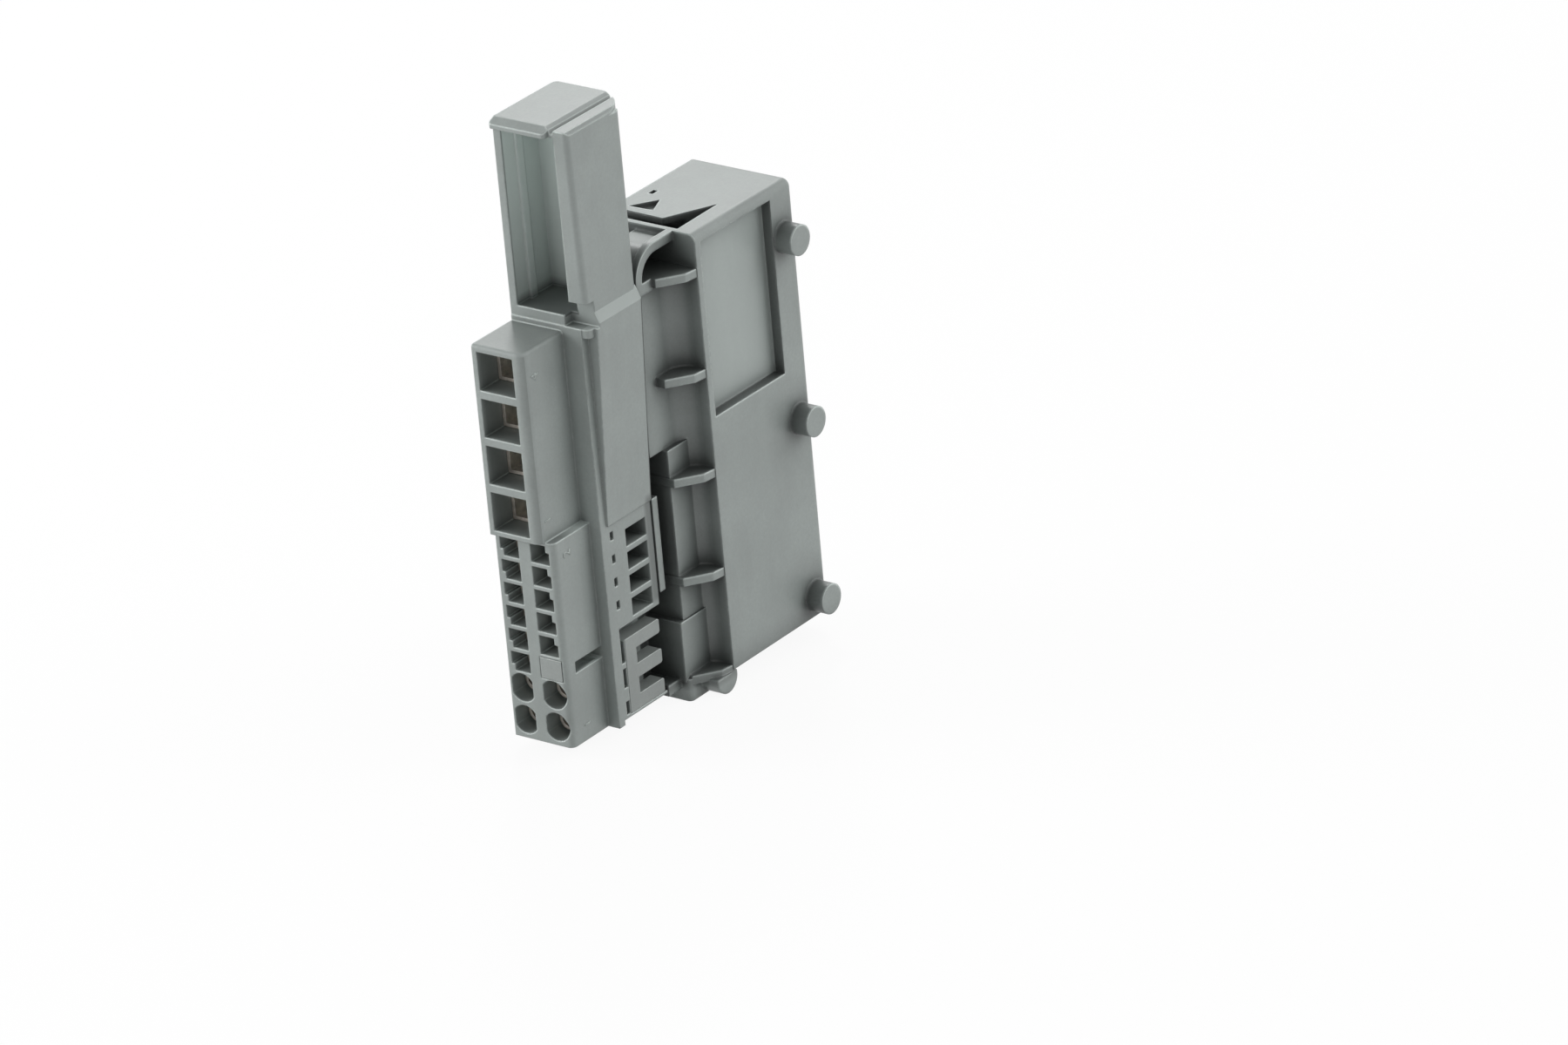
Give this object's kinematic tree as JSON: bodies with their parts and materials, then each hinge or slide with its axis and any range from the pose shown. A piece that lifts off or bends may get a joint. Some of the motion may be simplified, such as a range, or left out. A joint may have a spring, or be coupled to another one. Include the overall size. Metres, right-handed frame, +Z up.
{
  "type": "electrical connector",
  "caption": "Tall block connector with square, small and round sockets, a hollow pull handle and a ribbed rear housing with side pegs.",
  "frame": {"origin": "on the base, under the face of the lower socket block, on the middle plane of the rear housing", "axes": "+Z up, -Y out of the sockets towards the mating plugs, +X out of the broad side with the pegs"},
  "size_m": [0.0213, 0.0567, 0.0993],
  "materials": {
    "front_plastic": "satin",
    "rear_plastic": "satin",
    "insert_plastic": "satin",
    "contact_metal": "dull plated"
  },
  "bodies": {
    "root": {"front_housing": "front_plastic", "rear_housing": "rear_plastic", "lock_comb": "insert_plastic", "coding_plug": "insert_plastic", "power_contact_1": "contact_metal", "power_contact_2": "contact_metal", "power_contact_3": "contact_metal", "power_contact_4": "contact_metal", "signal_contact_1": "contact_metal", "signal_contact_2": "contact_metal", "signal_contact_3": "contact_metal", "signal_contact_4": "contact_metal", "signal_contact_5": "contact_metal", "signal_contact_6": "contact_metal", "signal_contact_7": "contact_metal", "signal_contact_8": "contact_metal", "signal_contact_9": "contact_metal", "signal_contact_10": "contact_metal", "signal_contact_11": "contact_metal", "round_contact_1": "contact_metal", "round_contact_2": "contact_metal", "round_contact_3": "contact_metal", "round_contact_4": "contact_metal"}
  },
  "joints": []
}
